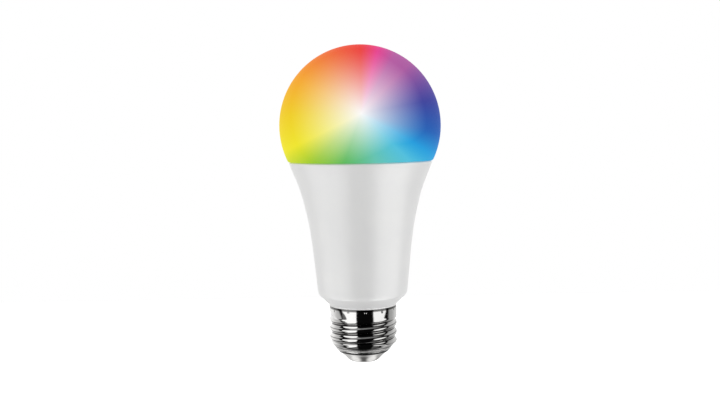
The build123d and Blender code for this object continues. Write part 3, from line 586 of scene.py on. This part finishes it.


# the thread's nickel carries painted shade bands and a painted highlight ring
give(nickel("nickel_rolled_thread", (0.72, 0.715, 0.705, 1.0), 0.05, 0.11, 40.0, painted_thread_shade, satin_highlight_ring), shell)
give(nickel("nickel_contact_plate", (0.74, 0.73, 0.715, 1.0), 0.06, 0.12, 12.0), contact)

b = Nodes("black_glossy_insulator")
b.color(b.mix(b.range(b.noise(300.0), 0.3, 0.7, 0.0, 1.0), (0.006, 0.006, 0.007, 1), (0.012, 0.012, 0.013, 1)))
b.rough(b.range(b.noise(700.0, 4.0), 0.3, 0.7, 0.12, 0.22))
b.bump(b.noise(1500.0), 0.08, 0.00002)
give(b.mat, insulator)


# ---- what the lamp holds inside
def plastic(name, a, b_, rough=(0.4, 0.55), grain=1800.0, bump=0.2, scale=90.0, spec=0.5):
    k = Nodes(name)
    k.color(k.mix(k.range(k.noise(scale, 4.0), 0.3, 0.7, 0.0, 1.0), a, b_))
    k.rough(k.range(k.noise(grain * 0.4, 4.0), 0.3, 0.7, *rough))
    k.bump(k.noise(grain, 3.0), bump, 0.00002)
    k.bsdf.inputs["Specular IOR Level"].default_value = spec
    return k.mat


def metal(name, a, b_, rough=(0.25, 0.4), stretch=(1, 1, 1), grain=500.0, bump=0.1):
    k = Nodes(name)
    fine = k.noise(grain, 5.0, 0.6, stretch=stretch)
    k.color(k.mix(k.range(k.noise(120.0, 4.0), 0.3, 0.7, 0.0, 1.0), a, b_))
    k.set(Metallic=1.0)
    k.rough(k.range(fine, 0.3, 0.7, *rough))
    k.bump(fine, bump, 0.00002)
    return k.mat


def board(name, mask, track, edge, cell=1400.0, axis="xz"):
    """Solder mask with raised tracks and rows of plated holes showing through it."""
    k = Nodes(name)
    brick = k.t.nodes.new("ShaderNodeTexBrick")
    turned = k.mapped((1, 1, 1), rotation=(pi / 2 if axis == "xz" else 0.0, 0.0, 0.0))
    k.link(turned, brick.inputs["Vector"])
    brick.inputs["Scale"].default_value = cell / 6
    brick.inputs["Mortar Size"].default_value = 0.045
    brick.inputs["Mortar Smooth"].default_value = 0.3
    brick.offset = 0.37
    brick.squash = 1.6
    brick.inputs["Color1"].default_value = (1, 1, 1, 1)
    brick.inputs["Color2"].default_value = (0.85, 0.85, 0.85, 1)
    brick.inputs["Mortar"].default_value = (0, 0, 0, 1)
    cells = k.t.nodes.new("ShaderNodeTexVoronoi")
    cells.inputs["Scale"].default_value = cell / 4
    k.link(turned, cells.inputs["Vector"])
    holes = k.range(cells.outputs["Distance"], 0.10, 0.14, 1.0, 0.0)
    tracks = k.math("SUBTRACT", 1.0, brick.outputs["Color"])
    base = k.mix(k.range(k.noise(140.0, 4.0), 0.3, 0.7, 0.0, 1.0), mask, edge)
    k.color(k.mix(holes, k.mix(k.math("MULTIPLY", tracks, 0.75), base, track), (0.75, 0.72, 0.62, 1.0)))
    k.rough(k.range(k.noise(900.0), 0.3, 0.7, 0.22, 0.34))
    k.bump(k.math("SUBTRACT", 1.0, tracks), 0.25, 0.00003)
    return k.mat


def wound(name, a, b_, turns, axis=1):
    """Turns of enamelled wire side by side."""
    k = Nodes(name)
    wave = k.t.nodes.new("ShaderNodeTexWave")
    wave.bands_direction = "XYZ"[axis]
    wave.inputs["Scale"].default_value = turns
    wave.inputs["Distortion"].default_value = 0.3
    k.link(k.coord, wave.inputs["Vector"])
    k.color(k.mix(wave.outputs["Fac"], a, b_))
    k.rough(k.range(k.noise(800.0), 0.3, 0.7, 0.2, 0.35))
    k.bump(wave.outputs["Fac"], 0.6, 0.0001)
    return k


def phosphor(name, lens, body, height):
    """White package with the phosphor in its well."""
    k = Nodes(name)
    x_, y_, z_ = k.xyz()
    well = k.range(z_, height - 0.00012, height - 0.00006, 1.0, 0.0)
    inside = k.range(k.noise(700.0, 4.0), 0.3, 0.7, 0.88, 1.0)
    lit = k.mix(well, body, k.mix(inside, body, lens))
    k.color(lit)
    k.rough(k.range(k.noise(1200.0), 0.3, 0.7, 0.3, 0.45))
    k.bump(k.noise(2500.0), 0.2, 0.00002)
    k.set(Emission_Strength=0.6)
    k.link(lit, k.bsdf.inputs["Emission Color"])
    return k.mat


silver = ((0.70, 0.70, 0.69, 1), (0.60, 0.60, 0.59, 1))
gold = ((0.83, 0.62, 0.28, 1), (0.72, 0.52, 0.22, 1))
led_top = 0.0773
MATS = {
    "globe_adhesive_ring": plastic("cured_silicone_bead", (0.80, 0.80, 0.78, 1), (0.72, 0.72, 0.70, 1), (0.35, 0.55), 500.0, 0.5),
    "heat_sink_cup": metal("drawn_aluminium", (0.76, 0.77, 0.78, 1), (0.66, 0.67, 0.68, 1), (0.28, 0.45), (1, 1, 14), 220.0),
    "insulating_sleeve": plastic("sleeve_plastic", (0.66, 0.64, 0.57, 1), (0.60, 0.58, 0.51, 1)),
    "thermal_pad": plastic("thermal_silicone", (0.30, 0.33, 0.38, 1), (0.24, 0.27, 0.31, 1), (0.6, 0.8), 300.0, 0.6),
    "led_board": board("white_led_board", (0.80, 0.80, 0.78, 1), (0.66, 0.66, 0.63, 1), (0.74, 0.74, 0.72, 1), 1300.0, "xy"),
    "warm_white_leds": phosphor("warm_phosphor", (0.95, 0.45, 0.05, 1), (0.80, 0.80, 0.78, 1), led_top),
    "cool_white_leds": phosphor("cool_phosphor", (0.90, 0.72, 0.12, 1), (0.80, 0.80, 0.78, 1), led_top),
    "rgb_leds": phosphor("clear_well", (0.25, 0.25, 0.30, 1), (0.82, 0.82, 0.80, 1), 0.0780),
    "led_board_screws": metal("zinc_plated_steel", *silver, (0.2, 0.35), (1, 1, 1), 900.0, 0.2),
    "led_board_socket": plastic("ivory_nylon", (0.72, 0.69, 0.58, 1), (0.66, 0.63, 0.52, 1)),
    "board_header": plastic("black_nylon", (0.02, 0.02, 0.02, 1), (0.035, 0.035, 0.035, 1)),
    "header_pins": metal("gold_flash", *gold, (0.15, 0.28)),
    "wifi_module_board": board("blue_module_board", (0.01, 0.05, 0.22, 1), (0.03, 0.11, 0.36, 1), (0.01, 0.06, 0.25, 1), 2200.0),
    "wifi_module_pins": metal("gold_flash_pins", *gold, (0.15, 0.28)),
    "wifi_shield_can": metal("tinned_can", *silver, (0.2, 0.32), (1, 1, 8), 300.0),
    "wifi_chip": plastic("chip_mould_wifi", (0.018, 0.018, 0.020, 1), (0.03, 0.03, 0.032, 1), (0.5, 0.65), 2600.0, 0.5),
    "wifi_antenna": metal("gilt_trace", *gold, (0.2, 0.35)),
    "driver_board": board("green_driver_board", (0.01, 0.12, 0.04, 1), (0.04, 0.24, 0.08, 1), (0.01, 0.10, 0.035, 1), 1500.0),
    "film_capacitor": plastic("film_box", (0.72, 0.40, 0.02, 1), (0.64, 0.35, 0.02, 1), (0.3, 0.45)),
    "transformer_core": plastic("ferrite", (0.045, 0.045, 0.05, 1), (0.075, 0.075, 0.08, 1), (0.45, 0.7), 2200.0, 0.6, 400.0),
    "transformer_bobbin": plastic("bobbin_phenolic", (0.02, 0.018, 0.016, 1), (0.035, 0.03, 0.028, 1)),
    "choke_core": plastic("choke_ferrite", (0.05, 0.05, 0.055, 1), (0.08, 0.08, 0.085, 1), (0.45, 0.7), 2200.0, 0.6, 400.0),
    "varistor": plastic("varistor_epoxy", (0.02, 0.09, 0.42, 1), (0.015, 0.07, 0.34, 1), (0.25, 0.4), 700.0, 0.5),
    "fuse_resistor": plastic("resistor_flameproof", (0.05, 0.25, 0.10, 1), (0.04, 0.20, 0.08, 1), (0.35, 0.5), 700.0, 0.4),
    "chip_leads": metal("tinned_chip_leads", *silver, (0.2, 0.35)),
    "power_diodes": plastic("diode_mould", (0.02, 0.02, 0.022, 1), (0.032, 0.032, 0.034, 1), (0.45, 0.6), 2600.0, 0.5),
    "chip_resistors": plastic("thick_film", (0.02, 0.02, 0.02, 1), (0.05, 0.05, 0.05, 1), (0.25, 0.4)),
    "ceramic_capacitors": plastic("tan_ceramic", (0.45, 0.28, 0.14, 1), (0.38, 0.23, 0.11, 1), (0.35, 0.5)),
    "component_leads": metal("tinned_copper", *silver, (0.2, 0.35)),
    "live_wire": plastic("red_silicone_wire", (0.50, 0.01, 0.01, 1), (0.42, 0.01, 0.01, 1), (0.35, 0.5)),
    "neutral_wire": metal("bare_tinned_lead", *silver, (0.2, 0.35)),
    "contact_pin": metal("drawn_brass_rivet", (0.80, 0.58, 0.26, 1), (0.70, 0.50, 0.22, 1), (0.2, 0.35), (1, 1, 10), 300.0),
}
for label in ("bridge_rectifier", "driver_chip", "led_driver_chip", "voltage_regulator"):
    MATS[label] = plastic("chip_mould_" + label, (0.018, 0.018, 0.020, 1), (0.03, 0.03, 0.032, 1), (0.5, 0.65), 2600.0, 0.5)
for label, tone in (("input_capacitor", (0.01, 0.02, 0.07, 1)), ("output_capacitor", (0.015, 0.015, 0.02, 1))):
    MATS[label] = plastic("shrink_sleeve_" + label, tone, tuple(c * 1.5 for c in tone[:3]) + (1,), (0.15, 0.28), 400.0, 0.2)
tape = wound("yellow_tape_over_wire", (0.80, 0.55, 0.03, 1), (0.70, 0.46, 0.02, 1), 55.0, 1)
MATS["transformer_winding"] = tape.mat
wire = wound("enamelled_copper", (0.55, 0.16, 0.05, 1), (0.30, 0.07, 0.02, 1), 115.0, 1)
wire.set(Metallic=1.0)
MATS["choke_winding"] = wire.mat
for label, mat in MATS.items():
    give(mat, NODES[label])

# ------------------------------------------------------------------ floor and studio
def stage_mesh(name, verts, faces, mat, camera=False, diffuse=False, glossy=False):
    mesh = bpy.data.meshes.new(name)
    mesh.from_pydata(verts, [], faces)
    obj = bpy.data.objects.new(name, mesh)
    scene.collection.objects.link(obj)
    obj.data.materials.append(mat)
    obj.visible_camera, obj.visible_diffuse, obj.visible_glossy = camera, diffuse, glossy
    obj.visible_transmission = obj.visible_volume_scatter = obj.visible_shadow = False
    return obj


def ball(radius, centre, across=96, down=48):
    verts = [(centre[0], centre[1], centre[2] + radius)]
    for i in range(1, down):
        e = pi * i / down
        verts += [(centre[0] + radius * sin(e) * cos(2 * pi * s / across), centre[1] + radius * sin(e) * sin(2 * pi * s / across), centre[2] + radius * cos(e)) for s in range(across)]
    verts.append((centre[0], centre[1], centre[2] - radius))
    faces = [(0, 1 + (s + 1) % across, 1 + s) for s in range(across)]
    for i in range(down - 2):
        a, b = 1 + i * across, 1 + (i + 1) * across
        faces += [(a + s, a + (s + 1) % across, b + (s + 1) % across, b + s) for s in range(across)]
    last = len(verts) - 1
    a = 1 + (down - 2) * across
    faces += [(last, a + s, a + (s + 1) % across) for s in range(across)]
    return verts, faces


class Light(Nodes):
    """Emission painted by direction from the lamp."""

    def __init__(self, name, tree=None):
        if tree is None:
            super().__init__(name)
            self.t.nodes.remove(self.bsdf)
            self.emit = self.t.nodes.new("ShaderNodeEmission")
            self.link(self.emit.outputs[0], self.out.inputs["Surface"])
        else:
            self.t = tree
            self.emit = tree.nodes["Background"]
            self.coord = tree.nodes.new("ShaderNodeTexCoord").outputs["Generated"]

    def blob(self, azimuth, elevation, centre, half, power, soft):
        """A soft-edged rounded rectangle in azimuth and elevation."""
        q = None
        for value, c, w in zip((azimuth, elevation), centre, half):
            d = self.math("ABSOLUTE", self.math("DIVIDE", self.math("SUBTRACT", value, c), w))
            d = self.math("POWER", d, power)
            q = d if q is None else self.math("ADD", q, d)
        return self.math("SUBTRACT", 1.0, self.step(q, 1 - soft, 1 + 2 * soft))

    def angles(self, centre=(0, 0, 0)):
        """Degrees round from the front, positive to the right, and degrees up."""
        x, y, z = self.xyz(self.shifted(centre))
        azimuth = self.math("MULTIPLY", self.math("ARCTAN2", x, self.math("MULTIPLY", y, -1.0)), 180 / pi)
        flat = self.math("SQRT", self.math("ADD", self.math("MULTIPLY", x, x), self.math("MULTIPLY", y, y)))
        up_ = self.math("MULTIPLY", self.math("ARCTAN2", z, flat), 180 / pi)
        return azimuth, up_

    def shifted(self, centre):
        n = self.t.nodes.new("ShaderNodeVectorMath")
        n.operation = "SUBTRACT"
        self.link(self.coord, n.inputs[0])
        n.inputs[1].default_value = centre
        return n.outputs[0]

    def total(self, *terms):
        out = None
        for value, weight in terms:
            v = self.math("MULTIPLY", value, weight) if not isinstance(value, (int, float)) else value * weight
            out = v if out is None else self.math("ADD", out, v)
        return out


floor_mat = bpy.data.materials.new("pale_floor")
floor_mat.use_nodes = True
fb = floor_mat.node_tree.nodes["Principled BSDF"]
fb.inputs["Base Color"].default_value = (0.86, 0.86, 0.86, 1)
fb.inputs["Roughness"].default_value = 0.9
fb.inputs["Specular IOR Level"].default_value = 0.1
fb.inputs["Emission Color"].default_value = (1, 1, 1, 1)
fb.inputs["Emission Strength"].default_value = 0.5
S = 4.0
floor = stage_mesh("floor", [(-S, -S, -0.7), (S, -S, -0.7), (S, S, -0.7), (-S, S, -0.7)], [(0, 1, 2, 3)], floor_mat, camera=True)

# what the camera sees behind the lamp
paper = Light("white_backdrop")
paper.emit.inputs["Color"].default_value = (1, 1, 1, 1)
paper.emit.inputs["Strength"].default_value = 1.0
stage_mesh("backdrop", *ball(6.0, (0, 0, 0.05)), paper.mat, camera=True)

# what gloss reflects: soft boxes either side of a dark strip in front. The bright metal has flags and boxes of its own
BASE_Z = 0.018


def tent(name, radius, paint, objects, exclude):
    t = Light(name)
    t.emit.inputs["Color"].default_value = (1, 1, 1, 1)
    az, el = t.angles((0.0, 0.0, BASE_Z))
    # how far to the side a direction points, from 0 to 1
    side = t.math("ABSOLUTE", t.math("DIVIDE", t.xyz(t.shifted((0.0, 0.0, BASE_Z)))[0], radius))
    t.link(paint(t, az, el, side), t.emit.inputs["Strength"])
    clear = t.t.nodes.new("ShaderNodeBsdfTransparent")
    both = t.t.nodes.new("ShaderNodeAddShader")
    t.link(t.emit.outputs[0], both.inputs[0])
    t.link(clear.outputs[0], both.inputs[1])
    t.link(both.outputs[0], t.out.inputs["Surface"])
    obj = stage_mesh(name, *ball(radius, (0, 0, BASE_Z)), t.mat, glossy=True)
    group = bpy.data.collections.new(name + "_receivers")
    for o in objects:
        group.objects.link(o)
    obj.light_linking.receiver_collection = group
    if exclude:
        for c in group.collection_objects:
            c.light_linking.link_state = "EXCLUDE"
    return obj


def metal_paint(t, az, el, side):
    # the left box leans: its outer side comes in lower down
    lean = t.math("MULTIPLY", t.band(el, -34, -11, 8), t.step(t.math("MULTIPLY", az, -1.0), 40, 70))
    high = t.math("MULTIPLY", t.step(el, 5, 25), 14.0)
    sunk = t.math("SUBTRACT", 1.0, t.step(el, -42, -33))
    leaned = t.total((az, 1.0), (lean, -29.0), (sunk, 12.0))
    tipped = t.math("MULTIPLY_ADD", t.math("MULTIPLY", t.band(el, -10, 4, 6), t.step(az, 58, 66)), -7.0, az)
    left = t.blob(leaned, el, (-50.5, 3.0), (27.0, 47.0), 2.6, 0.12)
    glow_left = t.blob(az, el, (-49.0, 12.0), (26.0, 78.0), 3.0, 0.2)
    right_box = t.blob(tipped, el, (56.5, -8.0), (21.0, 20.0), 2.0, 0.16)
    glow_right = t.blob(az, el, (57.0, -4.0), (22.0, 60.0), 3.0, 0.2)
    outer = t.total((az, 1.0), (lean, -13.0), (sunk, 12.0), (high, 1.0))
    deep = t.math("SUBTRACT", 1.0, t.step(el, -52, -40))
    behind_left = t.total((t.math("SUBTRACT", 1.0, t.step(outer, -96, -87)), 0.62), (t.math("SUBTRACT", 1.0, t.step(outer, -140, -98)), 0.52))
    behind_right = t.total((t.step(az, 92, 104), 0.46), (t.math("MULTIPLY", t.step(az, 104, 150), t.math("MULTIPLY_ADD", deep, 0.36, 0.32)), 1.0))
    under = t.math("SUBTRACT", 1.0, t.step(el, -60, -44))
    strip = t.math("MULTIPLY", under, t.math("SUBTRACT", 1.0, t.step(side, 0.04, 0.26)))
    strip = t.math("MULTIPLY", strip, t.math("MULTIPLY_ADD", t.step(el, -66, -60), -0.35, 1.0))
    dim = t.band(el, -48, -24, 6)
    shade = t.math("MULTIPLY", t.math("MULTIPLY_ADD", strip, -0.88, 1.0), t.math("MULTIPLY_ADD", dim, -0.42, 1.0))
    back = t.math("MULTIPLY", t.math("ADD", behind_left, behind_right), shade)
    overhead = t.step(el, 46, 62)
    return t.total((left, 1.25), (right_box, 1.15), (glow_left, 0.16), (glow_right, 0.10), (back, 1.0), (overhead, 0.2), (0.003, 1.0))


def soft_paint(t, az, el, side):
    left = t.band(az, -108, -33, 9)
    right_box = t.band(az, 33, 101, 9)
    tall = t.band(el, -72, 60, 8)
    low = t.math("SUBTRACT", 1.0, t.step(el, -60, -20))
    boxes = t.math("MULTIPLY", t.total((left, 2.6), (right_box, 3.3)), t.math("MULTIPLY_ADD", low, 0.9, 1.0))
    return t.total((t.math("MULTIPLY", boxes, tall), 1.0), (t.step(t.math("ABSOLUTE", az), 100, 125), 0.85), (0.05, 1.0))


bright = [shell, insulator, contact]
tent("metal_tent", 5.0, metal_paint, bright, False)
tent("soft_tent", 5.5, soft_paint, bright, True)

# soft even light from all round, a little less from the front and from below
world = bpy.data.worlds.new("studio")
scene.world = world
world.use_nodes = True
world.cycles_visibility.glossy = False
air = Light("", tree=world.node_tree)
az, el = air.angles()
front = air.math("MULTIPLY", air.band(az, -36, 36, 18), air.band(el, -70, 70, 20))
strength = air.total((front, -0.12), (air.step(el, -50, 10), 0.12), (0.79, 1.0))
air.link(strength, air.emit.inputs["Strength"])
air.emit.inputs["Color"].default_value = (1, 1, 1, 1)
